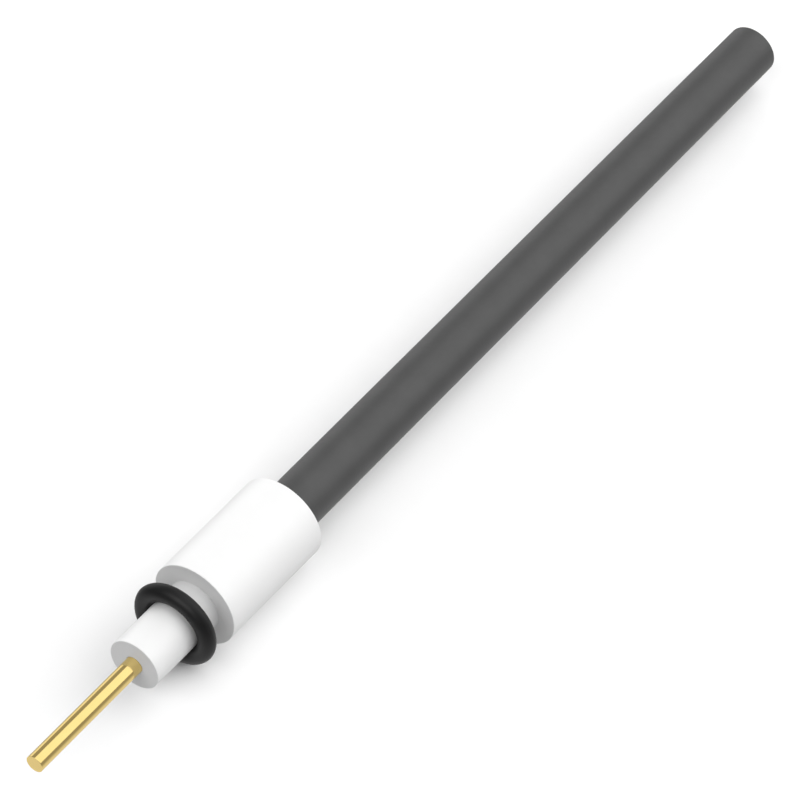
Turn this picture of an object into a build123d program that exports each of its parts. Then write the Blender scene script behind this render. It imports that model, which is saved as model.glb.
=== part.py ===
from build123d import *
import os

# A plug-in flame sensing probe. It lies along X: the contact pin points to -X and the sensing rod
# to +X. The origin is on the axis, in the plane of the shoulder between the nose and the barrel.
# Every length is in millimetres.

# Driving dimensions.
ROD_D = 6.0
ROD_LENGTH = 100.0
ROD_GRIP = 10.0  # length of the rod inside the barrel
BARREL_D = 10.0
BARREL_LENGTH = 15.0
NOSE_D = ROD_D
NOSE_LENGTH = 10.0
PIN_D = 2.0
PIN_REACH = 16.0  # length of the pin in front of the nose
RING_BORE = 6.16  # slides on the nose with 0.08 mm all round
RING_SECTION = 1.92
RING_AHEAD = 3.2  # from the shoulder to the middle of the ring
EDGE = 0.1  # broken edges on every turned piece
FIT_GAP = 0.02  # between a turned piece and its hole, on the radius

# The contact chamber, inside the nose and the front of the barrel.
CHAMBER_D = 3.6
CHAMBER_FRONT = -NOSE_LENGTH / 2
CHAMBER_REAR = BARREL_LENGTH - ROD_GRIP

# The pin's hidden end: a relief groove, then a flange with a boss that centres the spring.
RELIEF_D = 1.6
RELIEF_WIDTH = 0.8
RELIEF_DEPTH = 0.1  # from the nose's face to the groove
SEAL_SECTION = (CHAMBER_D - PIN_D) / 2
FLANGE_D = 3.2
FLANGE_THICKNESS = 0.8
FLANGE_FRONT = CHAMBER_FRONT + SEAL_SECTION
FLANGE_REAR = FLANGE_FRONT + FLANGE_THICKNESS
BOSS_D = 1.5
BOSS_LENGTH = 0.6

# The rod's hidden end: a spigot for the cap, a seal groove and a key groove for the cement.
SPIGOT_D = 2.4
SPIGOT_LENGTH = 2.4
CAP_D = 3.2
CAP_LENGTH = 3.0
CAP_FRONT = CHAMBER_REAR - CAP_LENGTH
SEAL_GROOVE_D = 4.7
SEAL_GROOVE_WIDTH = 1.0
SEAL_GROOVE_START = CHAMBER_REAR + 2.0

# The cement pocket at the barrel's mouth.
POCKET_D = 7.2
POCKET_DEPTH = 3.0
POCKET_FRONT = BARREL_LENGTH - POCKET_DEPTH
CEMENT_BELOW_MOUTH = 0.2
KEY_WIDTH = 1.0
KEY_DEPTH = 0.3
KEY_FRONT = POCKET_FRONT + 0.8

# The spring.
WIRE_D = 0.4
COIL_D = 2.4
COIL_TURNS = 6

MODEL_AXIS = Axis.X


def turned(outline):
    """A solid of revolution about the probe's axis, from (x, diameter) corners."""
    corners = [(x, diameter / 2) for x, diameter in outline]
    face = make_face(Polyline(*corners, close=True))
    return revolve(face, axis=MODEL_AXIS)


def bored(solid, diameter, start, end):
    """The solid with a round hole along the axis from start to end."""
    return solid - turned([(start, 0), (start, diameter), (end, diameter), (end, 0)])


def grooved(solid, outside_d, bottom_d, start, width):
    """The solid with a square groove turned into it, outside or inside."""
    end = start + width
    return solid - turned([(start, bottom_d), (start, outside_d), (end, outside_d), (end, bottom_d)])


def ring(middle, bore, section):
    """A round-section ring on the axis."""
    centre_radius = (bore + section) / 2
    circle = Pos(middle, centre_radius) * Circle(section / 2)
    return revolve(circle, axis=MODEL_AXIS)


def make_insulator():
    outline = [
        (-NOSE_LENGTH, 0),
        (-NOSE_LENGTH, NOSE_D - 2 * EDGE),
        (-NOSE_LENGTH + EDGE, NOSE_D),
        (0, NOSE_D),
        (0, BARREL_D - 2 * EDGE),
        (EDGE, BARREL_D),
        (BARREL_LENGTH - EDGE, BARREL_D),
        (BARREL_LENGTH, BARREL_D - 2 * EDGE),
        (BARREL_LENGTH, 0),
    ]
    body = turned(outline)
    body = bored(body, PIN_D + 2 * FIT_GAP, -NOSE_LENGTH, CHAMBER_FRONT)
    body = bored(body, CHAMBER_D, CHAMBER_FRONT, CHAMBER_REAR)
    body = bored(body, ROD_D + 2 * FIT_GAP, CHAMBER_REAR, POCKET_FRONT)
    body = bored(body, POCKET_D, POCKET_FRONT, BARREL_LENGTH)
    return bored(body, POCKET_D + 2 * KEY_DEPTH, KEY_FRONT, KEY_FRONT + KEY_WIDTH)


def make_contact_pin():
    tip = -NOSE_LENGTH - PIN_REACH
    outline = [
        (tip, 0),
        (tip, PIN_D - 2 * EDGE),
        (tip + EDGE, PIN_D),
        (FLANGE_FRONT, PIN_D),
        (FLANGE_FRONT, FLANGE_D),
        (FLANGE_REAR, FLANGE_D),
        (FLANGE_REAR, BOSS_D),
        (FLANGE_REAR + BOSS_LENGTH, BOSS_D),
        (FLANGE_REAR + BOSS_LENGTH, 0),
    ]
    relief_start = -NOSE_LENGTH + RELIEF_DEPTH
    return grooved(turned(outline), PIN_D, RELIEF_D, relief_start, RELIEF_WIDTH)


def make_contact_cap():
    outline = [
        (CAP_FRONT - BOSS_LENGTH, 0),
        (CAP_FRONT - BOSS_LENGTH, BOSS_D),
        (CAP_FRONT, BOSS_D),
        (CAP_FRONT, CAP_D),
        (CHAMBER_REAR, CAP_D),
        (CHAMBER_REAR, 0),
    ]
    return bored(turned(outline), SPIGOT_D, CHAMBER_REAR - SPIGOT_LENGTH, CHAMBER_REAR)


def make_sensing_rod():
    end = CHAMBER_REAR + ROD_LENGTH
    outline = [
        (CHAMBER_REAR - SPIGOT_LENGTH, 0),
        (CHAMBER_REAR - SPIGOT_LENGTH, SPIGOT_D),
        (CHAMBER_REAR, SPIGOT_D),
        (CHAMBER_REAR, ROD_D - 2 * EDGE),
        (CHAMBER_REAR + EDGE, ROD_D),
        (end - EDGE, ROD_D),
        (end, ROD_D - 2 * EDGE),
        (end, 0),
    ]
    rod = grooved(turned(outline), ROD_D, SEAL_GROOVE_D, SEAL_GROOVE_START, SEAL_GROOVE_WIDTH)
    return grooved(rod, ROD_D, ROD_D - 2 * KEY_DEPTH, KEY_FRONT, KEY_WIDTH)


def make_rod_cement():
    mouth = BARREL_LENGTH - CEMENT_BELOW_MOUTH
    fill = turned([(POCKET_FRONT, ROD_D), (POCKET_FRONT, POCKET_D), (mouth, POCKET_D), (mouth, ROD_D)])
    inside_d = ROD_D - 2 * KEY_DEPTH
    outside_d = POCKET_D + 2 * KEY_DEPTH
    key_rear = KEY_FRONT + KEY_WIDTH
    key = turned([(KEY_FRONT, inside_d), (KEY_FRONT, outside_d), (key_rear, outside_d), (key_rear, inside_d)])
    return fill + key


def make_rod_seal():
    section = (ROD_D + 2 * FIT_GAP - SEAL_GROOVE_D) / 2
    return ring(SEAL_GROOVE_START + SEAL_GROOVE_WIDTH / 2, SEAL_GROOVE_D, section)


def make_contact_spring():
    """A compression spring that just touches the flange and the cap."""
    length = CAP_FRONT - FLANGE_REAR - WIRE_D
    start = FLANGE_REAR + WIRE_D / 2
    path = Helix(length / COIL_TURNS, length, COIL_D / 2, center=(start, 0, 0), direction=(1, 0, 0))
    section = Plane(origin=path @ 0, z_dir=path % 0) * Circle(WIRE_D / 2)
    return sweep(section, path=path, is_frenet=True)


parts = {
    "insulator": make_insulator(),
    "contact_pin": make_contact_pin(),
    "pin_seal": ring(CHAMBER_FRONT + SEAL_SECTION / 2, PIN_D, SEAL_SECTION),
    "contact_spring": make_contact_spring(),
    "contact_cap": make_contact_cap(),
    "sensing_rod": make_sensing_rod(),
    "rod_seal": make_rod_seal(),
    "rod_cement": make_rod_cement(),
    "o_ring": ring(-RING_AHEAD, RING_BORE, RING_SECTION),
}

os.makedirs("parts", exist_ok=True)
for name, shape in parts.items():
    export_step(shape, f"parts/{name}.step")
    print(name, round(shape.volume, 2))
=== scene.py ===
import math

import bmesh
import bpy
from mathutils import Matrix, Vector


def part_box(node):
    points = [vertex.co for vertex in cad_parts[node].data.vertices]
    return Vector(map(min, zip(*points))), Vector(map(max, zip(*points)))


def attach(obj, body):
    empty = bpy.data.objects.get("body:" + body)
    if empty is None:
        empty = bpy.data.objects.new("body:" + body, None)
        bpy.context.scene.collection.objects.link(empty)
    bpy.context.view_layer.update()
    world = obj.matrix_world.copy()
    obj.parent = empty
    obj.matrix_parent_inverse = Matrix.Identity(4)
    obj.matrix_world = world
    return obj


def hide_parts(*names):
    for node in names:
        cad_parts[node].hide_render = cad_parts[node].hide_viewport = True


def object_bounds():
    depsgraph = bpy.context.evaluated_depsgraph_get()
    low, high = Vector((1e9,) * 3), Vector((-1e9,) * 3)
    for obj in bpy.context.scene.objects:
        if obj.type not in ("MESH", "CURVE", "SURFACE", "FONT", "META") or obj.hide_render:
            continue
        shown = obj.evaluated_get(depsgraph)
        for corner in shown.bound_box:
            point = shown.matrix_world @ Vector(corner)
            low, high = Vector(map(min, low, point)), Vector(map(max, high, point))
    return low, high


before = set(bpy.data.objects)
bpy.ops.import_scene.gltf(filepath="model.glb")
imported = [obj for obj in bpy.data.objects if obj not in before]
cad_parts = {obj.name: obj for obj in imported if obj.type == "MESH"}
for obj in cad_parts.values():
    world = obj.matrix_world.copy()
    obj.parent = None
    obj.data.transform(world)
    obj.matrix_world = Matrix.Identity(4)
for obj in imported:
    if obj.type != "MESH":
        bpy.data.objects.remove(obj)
cad_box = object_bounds()

# The probe lies along X, the contact pin towards -X, with the origin on its axis at the shoulder.
# The scene is in metres. Radii and lengths that the frame doesn't hold are given here.
MM = 0.001
SHOULDER = 0.0
PIN_RADIUS = 1.0 * MM
RELIEF_RADIUS = 0.8 * MM  # of the groove turned in the pin
RELIEF_WIDTH = 0.8 * MM
RELIEF_DEPTH = 0.1 * MM  # from the nose's face to the groove
FLANGE_THICKNESS = 0.8 * MM
BOSS_RADIUS = 0.75 * MM  # of the pin's end, which centres the spring
BOSS_LENGTH = 0.6 * MM
SPIGOT_RADIUS = 1.2 * MM  # of the rod's end, which holds the cap
SEAL_GROOVE_RADIUS = 2.35 * MM
SEAL_GROOVE_START = 2.0 * MM  # behind the chamber
SEAL_GROOVE_WIDTH = 1.0 * MM
KEY_DEPTH = 0.3 * MM
KEY_WIDTH = 1.0 * MM
KEY_START = 0.8 * MM  # behind the front of the cement pocket
FIT_GAP = 0.02 * MM
RING_GAP = 0.005 * MM  # under the ring, so that it can slide
RING_SQUEEZE = 0.03 * MM  # taken off the ring's section where it grips the nose
FLASH_HEIGHT = 0.012 * MM  # of the line that the mould leaves on the ring
FLASH_SPREAD = 0.06  # of the section's half width
MENISCUS_DEPTH = 0.18 * MM  # of the cement's hollow face

# Edge radii.
BODY_EDGE = 0.08 * MM  # the insulator's outside edges
BODY_FILLET = 0.05 * MM  # between the nose and the shoulder
POCKET_EDGE = 0.05 * MM  # the mouth of the cement's pocket
BORE_EDGE = 0.04 * MM  # the mouth of the pin's bore
TIP_EDGE = 0.02 * MM  # the pin's tip
METAL_EDGE = 0.1 * MM  # the rod's edges and the end of the pin's boss

# How the meshes are cut.
SEGMENTS = 256
ARC_STEPS = 6
HOLD = 0.03 * MM  # a loop this far past each rounded edge keeps the flats flat
RING_STEPS = 72
MENISCUS_STEPS = 12
SHARP_ANGLE = 30  # degrees between two faces that meet in a sharp edge


def front(node):
    """Where a node ends towards -X."""
    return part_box(node)[0].x


def rear(node):
    """Where a node ends towards +X."""
    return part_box(node)[1].x


def radius(node):
    """A node's largest radius about the axis."""
    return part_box(node)[1].z


ROD_RADIUS = radius("sensing_rod")
NOSE_FACE = front("insulator")
NOSE_RADIUS = ROD_RADIUS
BARREL_REAR = rear("insulator")
BARREL_RADIUS = radius("insulator")
CHAMBER_FRONT = front("pin_seal")
CHAMBER_REAR = rear("contact_cap")
CHAMBER_RADIUS = radius("pin_seal")
POCKET_FRONT = front("rod_cement")
KEY_RADIUS = radius("rod_cement")
POCKET_RADIUS = KEY_RADIUS - KEY_DEPTH
KEY_FRONT = POCKET_FRONT + KEY_START
KEY_REAR = KEY_FRONT + KEY_WIDTH


# Geometry.


def rounded(corners):
    """The outline through (x, radius, edge radius) corners, with an arc for each edge radius above 0."""
    points = []
    count = len(corners)
    for i, (x, r, edge) in enumerate(corners):
        here = Vector((x, r))
        if edge == 0:
            points.append(here)
            continue
        before = (Vector(corners[i - 1][:2]) - here).normalized()
        after = (Vector(corners[(i + 1) % count][:2]) - here).normalized()
        half_turn = before.angle(after) / 2
        reach = edge / math.tan(half_turn)
        centre = here + (before + after).normalized() * edge / math.sin(half_turn)
        start = here + before * reach - centre
        across = Vector((-start.y, start.x))
        sweep = start.angle_signed(here + after * reach - centre)
        points.append(here + before * (reach + HOLD))
        for step in range(ARC_STEPS + 1):
            turn = -sweep * step / ARC_STEPS
            points.append(centre + start * math.cos(turn) + across * math.sin(turn))
        points.append(here + after * (reach + HOLD))
    return points


def lathe(name, outline):
    """A closed mesh turned about X from a closed outline, or from one that starts and ends on the axis."""
    mesh = bmesh.new()
    angles = [2 * math.pi * step / SEGMENTS for step in range(SEGMENTS)]
    rings = []
    for x, r in outline:
        if r == 0:
            rings.append([mesh.verts.new((x, 0, 0))])
            continue
        places = [(x, -r * math.sin(angle), r * math.cos(angle)) for angle in angles]
        rings.append([mesh.verts.new(place) for place in places])
    closed = len(rings[0]) > 1
    pairs = zip(rings, rings[1:] + rings[:1]) if closed else zip(rings, rings[1:])
    for here, there in pairs:
        for step in range(SEGMENTS):
            after = (step + 1) % SEGMENTS
            corners = [here[step % len(here)], there[step % len(there)]]
            corners += [there[after % len(there)], here[after % len(here)]]
            mesh.faces.new(list(dict.fromkeys(corners)))  # a triangle where a ring is a point on the axis
    bmesh.ops.recalc_face_normals(mesh, faces=mesh.faces)
    data = bpy.data.meshes.new(name)
    mesh.to_mesh(data)
    mesh.free()
    data.shade_smooth()
    data.set_sharp_from_angle(angle=math.radians(SHARP_ANGLE))
    piece = bpy.data.objects.new(name, data)
    bpy.context.scene.collection.objects.link(piece)
    return piece


def make_insulator():
    pin_bore = PIN_RADIUS + FIT_GAP
    rod_bore = ROD_RADIUS + FIT_GAP
    corners = [
        (NOSE_FACE, pin_bore, BORE_EDGE),
        (NOSE_FACE, NOSE_RADIUS, BODY_EDGE),
        (SHOULDER, NOSE_RADIUS, BODY_FILLET),
        (SHOULDER, BARREL_RADIUS, BODY_EDGE),
        (BARREL_REAR, BARREL_RADIUS, BODY_EDGE),
        (BARREL_REAR, POCKET_RADIUS, POCKET_EDGE),
        (KEY_REAR, POCKET_RADIUS, 0),
        (KEY_REAR, KEY_RADIUS, 0),
        (KEY_FRONT, KEY_RADIUS, 0),
        (KEY_FRONT, POCKET_RADIUS, 0),
        (POCKET_FRONT, POCKET_RADIUS, 0),
        (POCKET_FRONT, rod_bore, 0),
        (CHAMBER_REAR, rod_bore, 0),
        (CHAMBER_REAR, CHAMBER_RADIUS, 0),
        (CHAMBER_FRONT, CHAMBER_RADIUS, 0),
        (CHAMBER_FRONT, pin_bore, 0),
    ]
    return lathe("white_body", rounded(corners))


def make_contact_pin():
    tip = front("contact_pin")
    boss_end = rear("contact_pin")
    flange_rear = boss_end - BOSS_LENGTH
    flange_front = flange_rear - FLANGE_THICKNESS
    relief_front = NOSE_FACE + RELIEF_DEPTH
    relief_rear = relief_front + RELIEF_WIDTH
    corners = [
        (tip, 0, 0),
        (tip, PIN_RADIUS, TIP_EDGE),
        (relief_front, PIN_RADIUS, 0),
        (relief_front, RELIEF_RADIUS, 0),
        (relief_rear, RELIEF_RADIUS, 0),
        (relief_rear, PIN_RADIUS, 0),
        (flange_front, PIN_RADIUS, 0),
        (flange_front, radius("contact_pin"), 0),
        (flange_rear, radius("contact_pin"), 0),
        (flange_rear, BOSS_RADIUS, 0),
        (boss_end, BOSS_RADIUS, METAL_EDGE),
        (boss_end, 0, 0),
    ]
    return lathe("plated_pin", rounded(corners))


def make_sensing_rod():
    start = front("sensing_rod")
    end = rear("sensing_rod")
    groove_front = CHAMBER_REAR + SEAL_GROOVE_START
    groove_rear = groove_front + SEAL_GROOVE_WIDTH
    corners = [
        (start, 0, 0),
        (start, SPIGOT_RADIUS, METAL_EDGE),
        (CHAMBER_REAR, SPIGOT_RADIUS, 0),
        (CHAMBER_REAR, ROD_RADIUS, METAL_EDGE),
        (groove_front, ROD_RADIUS, 0),
        (groove_front, SEAL_GROOVE_RADIUS, 0),
        (groove_rear, SEAL_GROOVE_RADIUS, 0),
        (groove_rear, ROD_RADIUS, 0),
        (KEY_FRONT, ROD_RADIUS, 0),
        (KEY_FRONT, ROD_RADIUS - KEY_DEPTH, 0),
        (KEY_REAR, ROD_RADIUS - KEY_DEPTH, 0),
        (KEY_REAR, ROD_RADIUS, 0),
        (end, ROD_RADIUS, METAL_EDGE),
        (end, 0, 0),
    ]
    return lathe("dark_shaft", rounded(corners))


def make_ring():
    """A moulded ring, pressed flat on the nose, with the fine flash line of its two-part mould."""
    half_width = (rear("o_ring") - front("o_ring")) / 2
    middle = (rear("o_ring") + front("o_ring")) / 2
    bore = NOSE_RADIUS + RING_GAP
    half_height = (radius("o_ring") - bore) / 2 + RING_SQUEEZE / 2
    centre_radius = radius("o_ring") - half_height
    outline = []
    for step in range(RING_STEPS):
        angle = 2 * math.pi * step / RING_STEPS
        flash = FLASH_HEIGHT * math.exp(-((math.cos(angle) / FLASH_SPREAD) ** 2))
        along = (half_width - FLASH_HEIGHT + flash) * math.cos(angle)
        out = (half_height - FLASH_HEIGHT + flash) * math.sin(angle)
        outline.append((middle + along, max(centre_radius + out, bore)))
    return lathe("rubber_ring", outline)


def make_cement():
    """The potting cement, with the hollow face that it sets with between the rod and the barrel."""
    face = rear("rod_cement")
    meniscus = []
    for step in range(MENISCUS_STEPS + 1):
        share = step / MENISCUS_STEPS
        sag = MENISCUS_DEPTH * math.sin(math.pi * share)
        r = POCKET_RADIUS + (ROD_RADIUS - POCKET_RADIUS) * share
        meniscus.append(Vector((face - sag, r)))
    inside = [
        (KEY_REAR, ROD_RADIUS),
        (KEY_REAR, ROD_RADIUS - KEY_DEPTH),
        (KEY_FRONT, ROD_RADIUS - KEY_DEPTH),
        (KEY_FRONT, ROD_RADIUS),
        (POCKET_FRONT, ROD_RADIUS),
    ]
    outside = [
        (POCKET_FRONT, POCKET_RADIUS),
        (KEY_FRONT, POCKET_RADIUS),
        (KEY_FRONT, KEY_RADIUS),
        (KEY_REAR, KEY_RADIUS),
        (KEY_REAR, POCKET_RADIUS),
    ]
    return lathe("potting_cement", [*meniscus, *inside, *outside])


# Materials.

NOISE_LOW = 0.3  # nearly all of a noise's values lie between these two
NOISE_HIGH = 0.7


def new_material(name):
    material = bpy.data.materials.new(name)
    material.use_nodes = True
    return material


def shader(material):
    return material.node_tree.nodes["Principled BSDF"]


def join(material, source, target):
    material.node_tree.links.new(source, target)


def drive(material, socket, source):
    """Gives one of the shader's values from a source."""
    join(material, source, shader(material).inputs[socket])


def noise(material, place, size, detail):
    """A noise value with features about size metres across, at the place that a socket gives."""
    nodes = material.node_tree.nodes
    texture = nodes.new("ShaderNodeTexNoise")
    texture.inputs["Scale"].default_value = 1 / size
    texture.inputs["Detail"].default_value = detail
    join(material, place, texture.inputs["Vector"])
    return texture.outputs["Fac"]


def object_place(material):
    return material.node_tree.nodes.new("ShaderNodeTexCoord").outputs["Object"]


def turned_place(material, stretch):
    """Where a point is along the axis and out from it, so that a noise draws the rings of a lathe's cut.

    A little of the place round the axis, by stretch, keeps the rings from closing perfectly.
    """
    nodes = material.node_tree.nodes
    split = nodes.new("ShaderNodeSeparateXYZ")
    join(material, object_place(material), split.inputs["Vector"])
    across = nodes.new("ShaderNodeCombineXYZ")
    join(material, split.outputs["Y"], across.inputs["Y"])
    join(material, split.outputs["Z"], across.inputs["Z"])
    length = nodes.new("ShaderNodeVectorMath")
    length.operation = "LENGTH"
    join(material, across.outputs["Vector"], length.inputs[0])
    drift = nodes.new("ShaderNodeMath")
    drift.operation = "MULTIPLY"
    drift.inputs[1].default_value = stretch
    join(material, split.outputs["Y"], drift.inputs[0])
    place = nodes.new("ShaderNodeCombineXYZ")
    join(material, split.outputs["X"], place.inputs["X"])
    join(material, length.outputs["Value"], place.inputs["Y"])
    join(material, drift.outputs["Value"], place.inputs["Z"])
    return place.outputs["Vector"]


def add_fade(tree, value, start, end):
    """A node that passes from one level to another while the value goes from start to end."""
    fade = tree.nodes.new("ShaderNodeMapRange")
    fade.inputs["From Min"].default_value = start
    fade.inputs["From Max"].default_value = end
    tree.links.new(value, fade.inputs["Value"])
    return fade


def between(material, value, low, high):
    """A noise value spread over the range from low to high."""
    spread = add_fade(material.node_tree, value, NOISE_LOW, NOISE_HIGH)
    spread.inputs["To Min"].default_value = low
    spread.inputs["To Max"].default_value = high
    return spread.outputs["Result"]


def tones(material, value, dark, light):
    """A colour between two tones."""
    ramp = material.node_tree.nodes.new("ShaderNodeValToRGB")
    ramp.color_ramp.elements[0].position = NOISE_LOW
    ramp.color_ramp.elements[0].color = (*dark, 1)
    ramp.color_ramp.elements[1].position = NOISE_HIGH
    ramp.color_ramp.elements[1].color = (*light, 1)
    join(material, value, ramp.inputs["Fac"])
    return ramp.outputs["Color"]


def add_relief(material, height, depth):
    """Relief from a height value, depth metres from its lowest to its highest."""
    bump = material.node_tree.nodes.new("ShaderNodeBump")
    bump.inputs["Distance"].default_value = depth
    join(material, height, bump.inputs["Height"])
    drive(material, "Normal", bump.outputs["Normal"])


def white_insulator():
    """Dense white insulator, turned or pressed, with a satin face and very fine turning rings."""
    material = new_material("white_insulator")
    clouds = noise(material, object_place(material), 2.5 * MM, 3)
    rings = noise(material, turned_place(material, 0.05), 0.12 * MM, 2)
    colour = tones(material, clouds, (0.802, 0.802, 0.800), (0.812, 0.812, 0.811))
    drive(material, "Base Color", colour)
    drive(material, "Roughness", between(material, rings, 0.42, 0.5))
    add_relief(material, rings, 0.0015 * MM)
    return material


def gold_plate():
    """Polished gold plating over a drawn pin."""
    material = new_material("gold_plate")
    shader(material).inputs["Metallic"].default_value = 1.0
    rings = noise(material, turned_place(material, 0.1), 0.08 * MM, 2)
    tint = noise(material, object_place(material), 1.2 * MM, 2)
    colour = tones(material, tint, (0.96, 0.72, 0.27), (0.99, 0.75, 0.29))
    drive(material, "Base Color", colour)
    drive(material, "Roughness", between(material, rings, 0.07, 0.11))
    add_relief(material, rings, 0.0004 * MM)
    return material


def black_rubber():
    """Moulded black rubber with a dull bloom and a fine pebble."""
    material = new_material("black_rubber")
    bloom = noise(material, object_place(material), 1.5 * MM, 4)
    pebble = noise(material, object_place(material), 0.06 * MM, 2)
    colour = tones(material, bloom, (0.006, 0.006, 0.0062), (0.008, 0.008, 0.0083))
    drive(material, "Base Color", colour)
    drive(material, "Roughness", between(material, pebble, 0.42, 0.5))
    shader(material).inputs["Specular IOR Level"].default_value = 0.35
    add_relief(material, pebble, 0.003 * MM)
    return material


def dark_rod():
    """The sensing rod's dark grey, oxidised, fine-ground surface."""
    material = new_material("dark_rod")
    clouds = noise(material, object_place(material), 3.0 * MM, 4)
    grind = noise(material, turned_place(material, 0.2), 0.15 * MM, 3)
    colour = tones(material, clouds, (0.055, 0.055, 0.055), (0.062, 0.062, 0.062))
    drive(material, "Base Color", colour)
    drive(material, "Roughness", between(material, grind, 0.4, 0.48))
    add_relief(material, grind, 0.002 * MM)
    return material


def cement():
    """Coarse, chalky potting cement with sand in it."""
    material = new_material("cement")
    sand = noise(material, object_place(material), 0.18 * MM, 5)
    colour = tones(material, sand, (0.60, 0.56, 0.49), (0.78, 0.75, 0.68))
    drive(material, "Base Color", colour)
    drive(material, "Roughness", between(material, sand, 0.8, 0.95))
    add_relief(material, sand, 0.05 * MM)
    return material


def metal(name, dark, light, smooth, rough):
    """A turned or drawn metal with fine rings."""
    material = new_material(name)
    shader(material).inputs["Metallic"].default_value = 1.0
    rings = noise(material, turned_place(material, 0.3), 0.1 * MM, 3)
    colour = tones(material, rings, dark, light)
    drive(material, "Base Color", colour)
    drive(material, "Roughness", between(material, rings, smooth, rough))
    add_relief(material, rings, 0.001 * MM)
    return material


def floor_paper():
    material = new_material("floor_paper")
    fibres = noise(material, object_place(material), 4 * MM, 4)
    colour = tones(material, fibres, (0.895, 0.895, 0.895), (0.905, 0.905, 0.905))
    drive(material, "Base Color", colour)
    shader(material).inputs["Roughness"].default_value = 0.9
    shader(material).inputs["Specular IOR Level"].default_value = 0.0
    return material


# The pieces.

RUBBER = black_rubber()
PIECES = [
    (make_insulator(), "insulator", "probe", "white_insulator", white_insulator()),
    (make_contact_pin(), "contact_pin", "probe", "gold_plate", gold_plate()),
    (make_sensing_rod(), "sensing_rod", "probe", "dark_rod", dark_rod()),
    (make_cement(), "rod_cement", "probe", "cement", cement()),
    (make_ring(), "o_ring", "ring", "black_rubber", RUBBER),
]
for piece, node, body, slot, material in PIECES:
    piece.data.materials.append(material)
    piece.visible_diffuse = node != "contact_pin"  # the pin throws no gold light on the pieces and floor
    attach(piece, body)
    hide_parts(node)

CAD_MATERIALS = {
    "pin_seal": RUBBER,
    "rod_seal": RUBBER,
    "contact_spring": metal("spring_steel", (0.52, 0.52, 0.53), (0.62, 0.62, 0.63), 0.2, 0.32),
    "contact_cap": metal("brass", (0.74, 0.56, 0.26), (0.80, 0.62, 0.30), 0.18, 0.3),
}
for node, material in CAD_MATERIALS.items():
    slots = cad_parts[node].data.materials
    slots.clear()
    slots.append(material)


# Studio. The levels of the lights and the room are radiances: 1 shows as white.

FLOOR_REACH = 3.0
LIGHT_DISTANCE = 0.9
# Each light's azimuth, elevation, length, height and radiance, and whether it shows in reflections.
SOFTBOXES = {
    "panel": (59, 48, 1.1, 1.6, 0.8, True),
    "front_key": (20, 40, 0.9, 0.6, 1.35, False),
    "top_key": (45, 65, 0.6, 0.6, 0.6, False),
    "end_wall": (60, 14, 1.0, 0.4, 2.7, False),
    "corner_wall": (120, 14, 1.0, 0.4, 1.8, False),
    "side_wall": (163, 14, 1.1, 0.4, 2.5, False),
    "back_panel": (270, 46, 1.0, 0.7, 2.2, True),
    "rim_card": (150, 8, 0.8, 0.45, 0.62, True),
}
FRONT_LEVEL = 0.1
BACK_LEVEL = 0.33
BELOW_LEVEL = 0.75
# Where the room passes from one level to another, by the X and by the Z of the direction.
FRONT_TO_BACK = (-0.3, 0.1)
BELOW_TO_ROOM = (-0.6, -0.15)


def make_floor(height):
    """A paper floor that takes the shadows, but sends no light back up under the probe."""
    data = bpy.data.meshes.new("floor")
    signs = ((-1, -1), (1, -1), (1, 1), (-1, 1))
    corners = [(across * FLOOR_REACH, along * FLOOR_REACH, height) for across, along in signs]
    data.from_pydata(corners, [], [(0, 1, 2, 3)])
    data.materials.append(floor_paper())
    floor = bpy.data.objects.new("floor", data)
    floor.visible_diffuse = False
    floor.visible_glossy = False
    bpy.context.scene.collection.objects.link(floor)


def direction(azimuth, elevation):
    """The way out from the probe at two angles in degrees. Azimuth 0 is towards -Y and 90 towards +X."""
    turn = math.radians(azimuth)
    rise = math.radians(elevation)
    return Vector((math.sin(turn) * math.cos(rise), -math.cos(turn) * math.cos(rise), math.sin(rise)))


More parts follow.
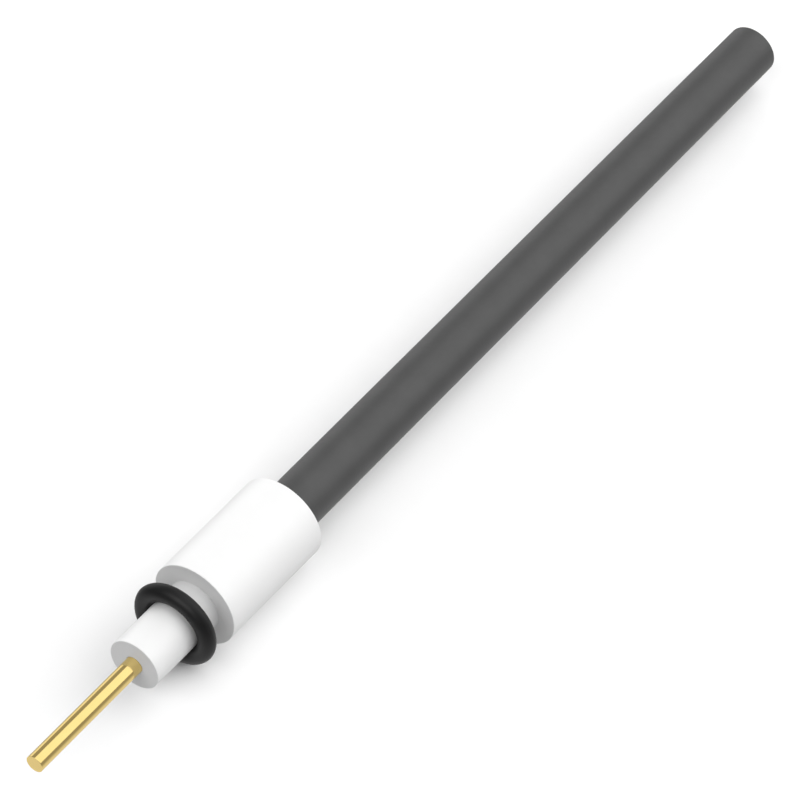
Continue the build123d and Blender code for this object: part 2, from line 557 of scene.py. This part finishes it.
def add_softbox(name, azimuth, elevation, length, height, radiance, mirrored):
    """A rectangular light that faces the probe, its length level, and shows in reflections or not."""
    away = direction(azimuth, elevation)
    data = bpy.data.lights.new(name, "AREA")
    data.shape = "RECTANGLE"
    data.size = length
    data.size_y = height
    data.energy = radiance * math.pi * length * height
    light = bpy.data.objects.new(name, data)
    light.location = away * LIGHT_DISTANCE
    light.rotation_euler = away.to_track_quat("Z", "Y").to_euler()
    light.visible_glossy = mirrored
    bpy.context.scene.collection.objects.link(light)


def make_world():
    """A grey room, darker in front of the probe than behind it, and lighter straight below."""
    world = bpy.data.worlds.new("studio")
    world.use_nodes = True
    tree = world.node_tree
    way = tree.nodes.new("ShaderNodeSeparateXYZ")
    tree.links.new(tree.nodes.new("ShaderNodeTexCoord").outputs["Generated"], way.inputs["Vector"])
    level = add_fade(tree, way.outputs["X"], *FRONT_TO_BACK)
    level.inputs["To Min"].default_value = FRONT_LEVEL
    level.inputs["To Max"].default_value = BACK_LEVEL
    lit = add_fade(tree, way.outputs["Z"], *BELOW_TO_ROOM)
    lit.inputs["To Min"].default_value = BELOW_LEVEL
    tree.links.new(level.outputs["Result"], lit.inputs["To Max"])
    background = tree.nodes["Background"]
    background.inputs["Color"].default_value = (1, 1, 1, 1)
    tree.links.new(lit.outputs["Result"], background.inputs["Strength"])
    bpy.context.scene.world = world


def make_camera(azimuth, elevation, distance, target, lens):
    """A camera that stands off from the target and looks at it."""
    back = direction(azimuth, elevation)
    data = bpy.data.cameras.new("camera")
    data.lens = lens
    data.clip_start = 0.01
    camera = bpy.data.objects.new("camera", data)
    camera.location = target + back * distance
    camera.rotation_euler = (-back).to_track_quat("-Z", "Y").to_euler()
    bpy.context.scene.collection.objects.link(camera)
    bpy.context.scene.camera = camera


make_floor(cad_box[0].z)
make_world()
for name, settings in SOFTBOXES.items():
    add_softbox(name, *settings)
make_camera(azimuth=-54.56, elevation=45.18, distance=0.5093, target=Vector((35.9 * MM, 0, 0)), lens=217.1)
bpy.context.scene.view_settings.view_transform = "Standard"
